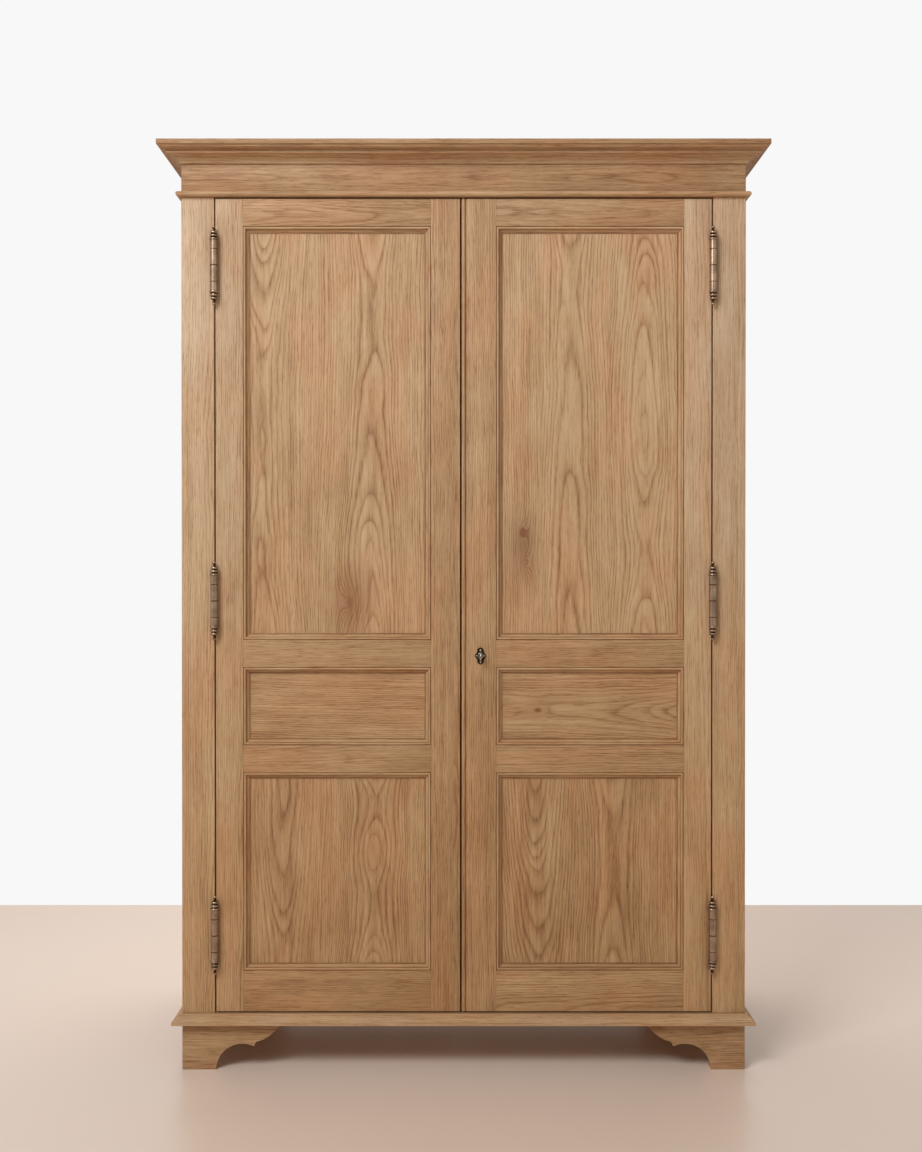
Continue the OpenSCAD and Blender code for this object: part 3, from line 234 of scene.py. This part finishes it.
def eased(node, wood, tones=(0.5,), arris=0.0008, along=None):
    """A copy of a node's boards with eased edges. Each board carries its own grain: the place
    across, into and along it, measured from its middle, and its number and tone. The grain runs
    along the longest side of a board, or along the axis that `along` names."""
    same_point = 2e-6
    flat_below = math.radians(0.5)
    planed_above = math.radians(30)
    soft_below = math.radians(28)
    shortest_planed = 12 * arris
    source = frame["nodes"][node]
    shape = bmesh.new()
    shape.from_mesh(source.data)
    bmesh.ops.remove_doubles(shape, verts=shape.verts, dist=same_point)
    bmesh.ops.dissolve_limit(shape, angle_limit=flat_below, verts=shape.verts, edges=shape.edges)
    if arris:
        sharp = [edge for edge in shape.edges if len(edge.link_faces) == 2
                 and edge.calc_face_angle() > planed_above and edge.calc_length() > shortest_planed]
        bmesh.ops.bevel(shape, geom=sharp, offset=arris, offset_type="OFFSET", segments=2, profile=0.5,
                        affect="EDGES", material=-1, clamp_overlap=False)

    grain = shape.verts.layers.float_vector.new("grain")
    board = shape.verts.layers.float_vector.new("board")
    own_figure = len(node) * 0.37
    for number, verts in enumerate(separate_boards(shape)):
        low = Vector([min(vert.co[i] for vert in verts) for i in range(3)])
        high = Vector([max(vert.co[i] for vert in verts) for i in range(3)])
        middle, size = (low + high) / 2, high - low
        thick, wide, long = sorted(range(3), key=lambda i: (i == along, size[i]))
        for vert in verts:
            place = vert.co - middle
            vert[grain] = (place[wide], place[thick], place[long])
            vert[board] = (number + own_figure, tones[number % len(tones)], 0)
    for face in shape.faces:
        face.smooth = True
    for edge in shape.edges:
        edge.smooth = len(edge.link_faces) == 2 and edge.calc_face_angle() < soft_below

    mesh = bpy.data.meshes.new(node + "_eased")
    shape.to_mesh(mesh)
    shape.free()
    piece = bpy.data.objects.new(node + "_eased", mesh)
    bpy.context.collection.objects.link(piece)
    mesh.materials.append(wood)
    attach(piece, body_of(source)[0])
    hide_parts(node)


def oak(name, hearts=(), length=1.0, ring=0.0042, stave=0.13, slant=0.02, knots=(), line=1.0,
        grooves=(), cool_top_light=(1, 1.01, 1.04), warm_foot_light=(0.93, 0.89, 0.82)):
    """Flat-sawn oak. A board is cut past the heart of its log, which lies at a varying depth
    behind the face, so the year rings show as nested arches between nearly straight lines.

    hearts: for each stave of a board of this length, the edge it begins at, the middle of its
    log, and the heart's depth at places along it. Without them, each stave of the width `stave`
    draws its own, and its heart rises or sinks by up to `slant` a metre.
    ring: the width of a year. line: how strongly the rings show.
    knots: place across and along, size, darkness, and how much the wood round it is stained.
    grooves: pairs of places in y between which the colour is darkened, as painted shade in a moulding's
    quirks.
    cool_top_light, warm_foot_light: painted light, cool and pale at the top, warm at the foot.
    """
    wood = bpy.data.materials.new(name)
    wood.use_nodes = True
    tree = wood.node_tree
    wire = Wire(tree)

    def parts(kind, source, count=3):
        split = wire.add(kind, inputs={0: source}).socket.node
        return [Wire(tree, split.outputs[i]) for i in range(count)]

    def cloud(x, y, z, detail=2.0, rough=0.5):
        """Soft noise: a place times a number makes that many lumps a metre."""
        place = wire.add("CombineXYZ", inputs={0: x, 1: y, 2: z})
        return wire.add("TexNoise", {"noise_dimensions": "3D"}, {
            "Vector": place, "Scale": 1.0, "Detail": detail, "Roughness": rough})

    def draw(value, output=0):
        """A number by chance for each value, or three with the output Color."""
        return wire.add("TexWhiteNoise", {"noise_dimensions": "1D"}, {"W": value}, output=output)

    def ramp(value, low, high, top=1.0):
        return wire.add("MapRange", {"interpolation_type": "SMOOTHSTEP"}, {
            0: value, 1: low, 2: high, 3: 0.0, 4: top})

    def blend(factor, low, high, kind="MIX"):
        return wire.add("Mix", {"data_type": "RGBA", "blend_type": kind}, {
            "Factor": factor, 6: low, 7: high}, output=2)

    across, depth, along = parts("SeparateXYZ", wire.add(
        "Attribute", {"attribute_name": "grain"}, output="Vector"))
    number, tone = parts("SeparateXYZ", wire.add(
        "Attribute", {"attribute_name": "board"}, output="Vector"), 2)
    object_place = parts("SeparateXYZ", wire.add("TexCoord", output="Object"))

    # Where the log's heart lies: as measured for this board, or by chance for each stave
    stave_seed = 7.31
    if hearts:
        deepest = 0.1
        turn, centre, heart = across * 0, across * 0 + hearts[0][1], None
        for edge, middle, depths in hearts:
            bends = [(z / length + 0.5, d / deepest) for z, d in depths]
            bend = wire.add("FloatCurve", {"bends": bends}, {"Value": along / length + 0.5}) * deepest
            past = wire.maths("GREATER_THAN", across, edge)
            turn = turn + past
            centre = centre + past * (middle - centre)
            heart = bend if heart is None else heart + past * (bend - heart)
        first = parts("SeparateColor", draw(turn * stave_seed + number, "Color"))[0]
    else:
        shift = number * 0.173
        turn = wire.maths("FLOOR", (across + shift) / stave)
        first, second, third = parts("SeparateColor", draw(turn * stave_seed + number * 3.7, "Color"))
        centre = (turn - 0.1 + first * 1.2) * stave - shift
        heart = 0.035 + third * 0.05 + (second - 0.5) * 2 * slant * along
    seed = turn * 3.17 + number * 1.37

    # The year rings round the heart, bent by slow waves, ruffled by small ones, pushed by knots
    sway_by, bend_by, ripple_by, ruffle_by = 0.028, 0.014, 0.008, 0.0052
    knot_push, knot_reach, stain_reach = 2.4, 1.25, 5.5
    sway = cloud(seed, 0.0, along * 2.0, 1.0) - 0.5
    slow = cloud(across * 4 + seed, depth * 4, along * 1.7, 1.0) - 0.5
    ripple = cloud(across * 13 + seed, depth * 13, along * 6 - seed, 1.0) - 0.5
    quick = cloud(across * 30 + seed, depth * 30, along * 7, 2.0) - 0.5
    beside = across - centre + sway * sway_by
    behind = heart + depth + slow * bend_by
    radius = wire.maths("SQRT", beside * beside + behind * behind) + quick * ruffle_by + ripple * ripple_by
    stain = None
    for knot_across, knot_along, size, darkness, halo in knots:
        away = wire.maths("SQRT", (across - knot_across) ** 2 + ((along - knot_along) * 0.6) ** 2)
        away = away + quick * size
        radius = radius + wire.maths("EXPONENT", away * (-1 / (size * knot_reach))) * size * knot_push
        mark = ramp(away, size * 0.9, size * 0.15, darkness) + ramp(away, size * stain_reach, 0.0, halo)
        stain = mark if stain is None else stain + mark
    years = radius / ring + (cloud(radius * 45, seed, 0.0, 1.0) - 0.5) * 3
    phase = wire.maths("FRACT", years)
    strength = 0.45 + draw(wire.maths("FLOOR", years) + seed) * 0.75
    band = ((1 - phase) ** 3 + phase ** 9) * strength

    # Pores in dashes along the fibres, broad pale and dark streaks, and clouds of a pinker tint
    fibre = cloud(across * 330 + seed, depth * 330, along * 14, 2.0, 0.6) - 0.5
    dash = cloud(across * 620, depth * 620, along * 42 + seed, 1.0)
    streak = cloud(across * 75 + seed, depth * 75, along * 1.8, 2.0) - 0.5
    patch = cloud(across * 13 + seed, depth * 13, along * 4.5, 3.0, 0.6) - 0.5
    pores = ramp(dash + band * 0.1, 0.56, 0.72)
    dark = (band + streak) * 0.42 * line + fibre * 0.85 + pores * 0.24
    dark = dark + patch * 0.65 + (first - 0.5) * 0.06 + tone - 0.5
    # Painted shade: darker in a moulding's quirks, where shadow lies, and a little for old wax there.
    quirk_shade_edge, quirk_shade_darkness = 0.0006, 0.5
    for front, rear in grooves:
        behind_front = ramp(object_place[1], front, front + quirk_shade_edge)
        behind_rear = ramp(object_place[1], rear, rear + quirk_shade_edge)
        dark = dark + behind_front * (1 - behind_rear) * quirk_shade_darkness
    straw, honey = srgb(217, 187, 150), srgb(192, 156, 117)
    tan, umber = srgb(165, 127, 90), srgb(122, 85, 57)
    colour = wire.add("ValToRGB", {"stops": ((0.0, straw), (0.4, honey), (0.7, tan), (1.0, umber))}, {
        "Fac": ramp(dark, -0.75, 1.15)}, output="Color")
    pink = (1.03, 0.955, 0.93, 1)
    hue = cloud(across * 9 - seed, depth * 9, along * 3.5, 2.0)
    colour = blend(ramp(hue, 0.42, 0.64), colour, pink, "MULTIPLY")

    # Painted light: cooler and paler towards the top, warmer towards the floor that throws light up
    painted_light_low, painted_light_full = 0.25, 1.75
    painted_height_light = blend(ramp(object_place[2], painted_light_low, painted_light_full), (*warm_foot_light, 1), (*cool_top_light, 1))
    colour = blend(1.0, colour, painted_height_light, "MULTIPLY")
    if stain is not None:
        knot_brown = (*srgb(126, 78, 48), 1)
        colour = blend(wire.maths("MINIMUM", stain, 0.85), colour, knot_brown)
    shader = tree.nodes["Principled BSDF"]
    shader.inputs["Specular IOR Level"].default_value = 0.2
    tree.links.new(colour.socket, shader.inputs["Base Color"])
    tree.links.new((0.5 + pores * 0.14 + fibre * 0.12).socket, shader.inputs["Roughness"])
    height = 1 - (pores * 0.7 + band * 0.35 + fibre * 0.5)
    relief = wire.add("Bump", inputs={"Strength": 0.45, "Distance": 0.0003, "Height": height})
    tree.links.new(relief.socket, shader.inputs["Normal"])
    return wood


# The posts turn cooler still towards the top: painted light from above.
post_oak = oak("post_oak", slant=0.012, cool_top_light=(1, 1.06, 1.18))
for name in ("left_front_post", "right_front_post", "left_rear_post", "right_rear_post"):
    eased(name, post_oak, tones=(0.35,))


# Three rails a side are tenoned between the posts, and hold two flat panels in grooves. The
# rails run lengthwise with their grain; the panels are glued up from upright staves.
upright = 2
rail_oak = oak("rail_oak", slant=0.03, line=0.75)
side_panel_oak = oak("side_panel_oak", slant=0.05, ring=0.0048)
for side in ("left", "right"):
    eased(side + "_side_rails", rail_oak, tones=(0.5, 0.54, 0.46))
    eased(side + "_side_panels", side_panel_oak, tones=(0.5, 0.55), arris=0, along=upright)
eased("side_mouldings", rail_oak, tones=(0.52, 0.47, 0.5), arris=0)


# Each door has two stiles with four rails tenoned into them. Their faces are planed flush and
# the edges are just broken; the right meeting stile carries a worked bead.
stile_oak = oak("stile_oak", slant=0.015)
for name, wood, tone in (("left_hinge_stile", post_oak, 0.41), ("left_meeting_stile", stile_oak, 0.63),
                         ("right_hinge_stile", post_oak, 0.36), ("right_meeting_stile", stile_oak, 0.55)):
    eased(name, wood, tones=(tone,))
eased("left_door_rails", rail_oak, tones=(0.57, 0.59, 0.67, 0.72))
eased("right_door_rails", rail_oak, tones=(0.64, 0.71, 0.61, 0.64))


# Flat panels glued up from plain-sawn staves that show their year rings as tall arches, set in
# grooves. The tall and the lower ones stand upright, the middle ones lie along the rails.
def door_panel(node, tone, along, length, hearts, line=1.0, knots=()):
    """One panel in its own oak, with the hearts of its logs where its arches stand."""
    panel_oak = oak(node + "_wood", hearts, length, ring=0.005, knots=knots, line=line)
    eased(node, panel_oak, tones=(tone,), arris=0, along=along)


lying = 0
door_panel("left_upper_panel", 0.42, upright, 0.95, line=1.15, hearts=(
    (-0.22, -0.167, ((-0.475, 0.058), (-0.31, 0.063), (-0.16, 0.068), (-0.04, 0.0705), (0.09, 0.0735),
                     (0.20, 0.0715), (0.265, 0.067), (0.32, 0.061), (0.37, 0.056), (0.475, 0.045))),
    (-0.05, 0.078, ((-0.475, 0.036), (-0.36, 0.042), (-0.25, 0.050), (-0.19, 0.056), (-0.147, 0.060),
                    (-0.08, 0.0655), (-0.012, 0.070), (0.14, 0.075), (0.26, 0.0765), (0.38, 0.075),
                    (0.475, 0.070)))),
    knots=((0.028, -0.385, 0.015, 0.2, 0.5),))
door_panel("right_upper_panel", 0.38, upright, 0.95, line=1.15, hearts=(
    (-0.22, -0.26, ((-0.475, 0.050), (0.475, 0.060))),
    (-0.11, -0.042, ((-0.475, 0.056), (-0.36, 0.060), (-0.195, 0.065), (-0.035, 0.070), (0.13, 0.075),
                     (0.30, 0.0785), (0.475, 0.073))),
    (0.045, 0.126, ((-0.475, 0.050), (-0.40, 0.055), (-0.35, 0.060), (-0.27, 0.063), (-0.19, 0.060),
                    (-0.11, 0.055), (-0.075, 0.050), (0.022, 0.0465), (0.105, 0.050), (0.216, 0.055),
                    (0.305, 0.060), (0.385, 0.065), (0.44, 0.070), (0.475, 0.074)))),
    knots=((-0.1525, -0.225, 0.009, 0.9, 0.35), (-0.1486, -0.293, 0.012, 0.1, 0.4)))
door_panel("left_middle_panel", 0.52, lying, 0.44, hearts=(
    (-0.1, -0.16, ((-0.22, 0.03), (0.22, 0.05))),))
door_panel("right_middle_panel", 0.58, lying, 0.44, hearts=(
    (-0.1, -0.012, ((-0.22, 0.068), (-0.08, 0.0665), (0.09, 0.061), (0.22, 0.048))),),
    knots=((-0.010, -0.118, 0.006, 0.8, 0.3),))
door_panel("left_lower_panel", 0.54, upright, 0.464, hearts=(
    (-0.22, -0.12, ((-0.232, 0.072), (-0.13, 0.068), (0.0, 0.060), (0.232, 0.052))),
    (-0.02, 0.085, ((-0.232, 0.040), (-0.06, 0.056), (0.05, 0.050), (0.14, 0.058), (0.232, 0.045)))))
door_panel("right_lower_panel", 0.57, upright, 0.464, hearts=(
    (-0.22, -0.118, ((-0.232, 0.078), (-0.16, 0.071), (-0.06, 0.062), (0.03, 0.052), (0.12, 0.043),
                     (0.232, 0.034))),
    (-0.03, 0.055, ((-0.232, 0.058), (-0.1, 0.066), (0.04, 0.070), (0.232, 0.061)))))


# Four lengths of bead-and-hollow moulding, mitred at the corners, are pinned into each opening
# and stand just below the faces of the frame. Their colour is darkened beside the bead and where
# they meet the panel: mostly painted shade for the shadow in these quirks, partly old wax.
moulding_front, moulding_rear = (corner.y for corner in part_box("left_door_mouldings"))
beside_bead = (moulding_front + 0.0003, moulding_front + 0.0025)
at_panel = (moulding_rear - 0.0017, moulding_rear + 0.0001)
moulding_oak = oak("moulding_oak", slant=0.02, line=0.6, grooves=(beside_bead, at_panel))
for side in ("left", "right"):
    eased(side + "_door_mouldings", moulding_oak, tones=(0.5, 0.47, 0.52), arris=0)


# A plain frieze mitred round the front and sides, with a half-round bead under it, a cove on
# top, and the top board with its rounded lower edge.
eased("frieze_boards", rail_oak, tones=(0.74,))
eased("necking_bead", rail_oak, tones=(0.52,), arris=0)
eased("cove_moulding", rail_oak, tones=(0.55,), arris=0)
eased("top_board", rail_oak, tones=(0.72,), arris=0.0005)


# A flat frame with a moulded edge carries the posts. Under it stand bracket feet, sawn to a
# hollow, a cusp and a bulge, mitred at the corners and stiffened by square blocks behind.
# The base takes less of the warm tint at the foot, the painted light thrown up from the floor.
base_oak = oak("base_oak", slant=0.03, line=0.75, warm_foot_light=(0.93, 0.915, 0.9))
eased("base_frame", base_oak, tones=(0.46,), arris=0.0006)
eased("front_feet", base_oak, tones=(0.69,), along=lying)
eased("rear_feet", base_oak, tones=(0.5,))
inner_oak = oak("inner_oak", slant=0.02, line=0.9)
eased("foot_blocks", inner_oak, tones=(0.42,))


# Three rails are tenoned between the rear posts, and upright tongued boards are nailed over
# them. They are rough-planed and were never waxed.
eased("back_rails", inner_oak, tones=(0.44, 0.46, 0.42))
eased("back_boards", inner_oak, tones=(0.42, 0.47, 0.39, 0.45), along=upright)


# The floor, the door stop, the glue blocks of the head, the dowels between head, posts and
# base, and the hat shelf on its two cleats, all plain planed boards without a finish.
eased("floor_board", inner_oak, tones=(0.44,))
eased("door_stop", inner_oak, tones=(0.44,))
eased("head_blocks", inner_oak, tones=(0.46,))
eased("dowels", inner_oak, tones=(0.46,), arris=0)
eased("hat_shelf", inner_oak, tones=(0.42,))
eased("shelf_cleats", inner_oak, tones=(0.45,))


# Turned lift-off hinges of cast brass with a brown patina: the lower half with its pin is let
# into the post, the upper half into the door, and each ends in three rings and a button. The
# patina stays dark in the grooves between the rings, at the seam and in two turned lines.
def metal(name, dark, bright, roughness, rubbed, grooves=None):
    """Metal with a patina that is rubbed through in clouds, and with fine marks of wear."""
    worn_metal = bpy.data.materials.new(name)
    worn_metal.use_nodes = True
    tree = worn_metal.node_tree
    wire = Wire(tree)
    place = wire.add("TexCoord", output="Object")
    cloud = wire.add("TexNoise", inputs={"Vector": place, "Scale": 45.0, "Detail": 3.0})
    grit = wire.add("TexNoise", inputs={"Vector": place, "Scale": 800.0, "Detail": 2.0})
    worn = rubbed + (cloud - 0.5) * 1.1 + (grit - 0.5) * 0.5
    if grooves:
        worn = worn - grooves(wire, place)
    worn = wire.maths("MINIMUM", wire.maths("MAXIMUM", worn, 0.0), 1.0)
    colour = wire.add("Mix", {"data_type": "RGBA"}, {
        "Factor": worn, 6: (*dark, 1), 7: (*bright, 1)}, output=2)
    rougher_patina = 0.16
    shader = tree.nodes["Principled BSDF"]
    shader.inputs["Metallic"].default_value = 1.0
    tree.links.new(colour.socket, shader.inputs["Base Color"])
    spread = roughness + rougher_patina - worn * rougher_patina + (grit - 0.5) * 0.2
    tree.links.new(spread.socket, shader.inputs["Roughness"])
    relief = wire.add("Bump", inputs={"Strength": 0.2, "Distance": 0.0002, "Height": grit + cloud * 0.5})
    tree.links.new(relief.socket, shader.inputs["Normal"])
    return worn_metal


axis_at = {joint["name"]: Vector(joint["pos_m"]) for joint in frame["joints"] if "pos_m" in joint}
middle_hinge = axis_at["right_door_hinge"]
hinge_pitch = 0.758
rings_middle = 0.0695
rings_half = 0.0125
first_ring = 0.0594
ring_radius = 0.01
ring_taper = 0.147
full_patina_depth = 0.0025
seam_half = 0.0011
turned_line = 0.037
turned_line_half = 0.0009
neck = 0.0835
neck_half = 0.0016


def hinge_grooves(wire, place):
    """How dark the patina lies at a point, by its rise over or under the seam of its hinge."""
    split = wire.add("SeparateXYZ", inputs={0: place}).socket.node
    x, y, z = (Wire(wire.tree, split.outputs[i]) for i in range(3))
    aside = wire.maths("ABSOLUTE", x) - middle_hinge.x
    out = wire.maths("SQRT", aside ** 2 + (y - middle_hinge.y) ** 2)
    rise = wire.maths("WRAP", z - middle_hinge.z, hinge_pitch / 2, -hinge_pitch / 2)
    rise = wire.maths("ABSOLUTE", rise)
    crests = ring_radius - (rise - first_ring) * ring_taper
    sunk = (crests - out) * (1 / full_patina_depth) * wire.maths("COMPARE", rise, rings_middle, rings_half)
    seam = wire.maths("COMPARE", rise, 0.0, seam_half)
    lines = wire.maths("COMPARE", rise, turned_line, turned_line_half) * 0.6
    necks = wire.maths("COMPARE", rise, neck, neck_half)
    return wire.maths("MAXIMUM", sunk, 0.0) + seam + lines + necks


def finish(node, worn_metal):
    """The node keeps its own shape and takes this finish."""
    for place in frame["nodes"][node].material_slots:
        place.material = worn_metal


hinge_brass = metal("hinge_brass", srgb(66, 50, 38), srgb(198, 170, 144), 0.25, 0.62, hinge_grooves)
for side in ("left", "right"):
    finish(side + "_hinge_pins", hinge_brass)
    finish(side + "_hinge_sockets", hinge_brass)


# A rim lock is screwed to the back of the right door, and its keeper to the back of the left
# one. Both are folded from sheet iron that has turned dark.
dark_iron = metal("dark_iron", srgb(38, 34, 30), srgb(104, 96, 86), 0.36, 0.3)
for node in ("lock_case", "lock_keeper"):
    finish(node, dark_iron)


# The escutcheon is a small cast plate: a lozenge with two lobes, raised to a rim round the
# keyhole and to a bead on each lobe and point. The key's bow is polished by the hand.
worn_iron = metal("worn_iron", srgb(20, 14, 8), srgb(110, 98, 82), 0.28, 0.12)
bow_iron = metal("bow_iron", srgb(40, 33, 25), srgb(206, 197, 182), 0.2, 0.52)
eased("escutcheon", worn_iron, arris=0.0007)
finish("key", bow_iron)
keyhole = Vector((axis_at["key_turn"].x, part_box("escutcheon")[0].y, axis_at["key_turn"].z))
rim_radius = 0.0062
rim_thickness = 0.0011
cast = bmesh.new()
for x, z, radius in ((0, 0.0125, 0.0028), (0, -0.0152, 0.002), (0.0093, 0, 0.0022), (-0.0093, 0, 0.0022)):
    bead = bmesh.ops.create_uvsphere(cast, u_segments=20, v_segments=12, radius=radius)["verts"]
    bmesh.ops.translate(cast, vec=keyhole + Vector((x, 0, z)), verts=bead)
rim = bmesh.ops.create_circle(cast, segments=10, radius=rim_thickness)["verts"]
bmesh.ops.translate(cast, vec=keyhole + Vector((rim_radius, 0, 0)), verts=rim)
rim_edges = [edge for edge in cast.edges if set(edge.verts) <= set(rim)]
bmesh.ops.spin(cast, geom=rim + rim_edges, cent=keyhole, axis=(0, 1, 0), angle=2 * math.pi, steps=40,
               use_merge=True, use_duplicate=False)
bmesh.ops.remove_doubles(cast, verts=cast.verts, dist=1e-6)
bmesh.ops.recalc_face_normals(cast, faces=cast.faces)
for face in cast.faces:
    face.smooth = True
cast_mesh = bpy.data.meshes.new("escutcheon_cast")
cast.to_mesh(cast_mesh)
cast.free()
cast_mesh.materials.append(bow_iron)
escutcheon_cast = bpy.data.objects.new("escutcheon_cast", cast_mesh)
bpy.context.collection.objects.link(escutcheon_cast)
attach(escutcheon_cast, "right_door")


# Drawn steel: the bolts that hold the left door, the bolt of the lock, the rail for the hangers,
# its sockets and the screws. The slide bolts' guides and keepers are pressed brass.
steel = metal("steel", srgb(120, 118, 114), srgb(190, 188, 184), 0.28, 0.7)
dull_brass = metal("dull_brass", srgb(112, 90, 54), srgb(190, 162, 104), 0.33, 0.6)
for node in ("top_bolt", "bottom_bolt", "lock_bolt", "hanging_rail", "carcass_screws",
             "left_door_screws", "right_door_screws", "rail_sockets"):
    finish(node, steel)
for node in ("bolt_guides", "bolt_keepers"):
    finish(node, dull_brass)
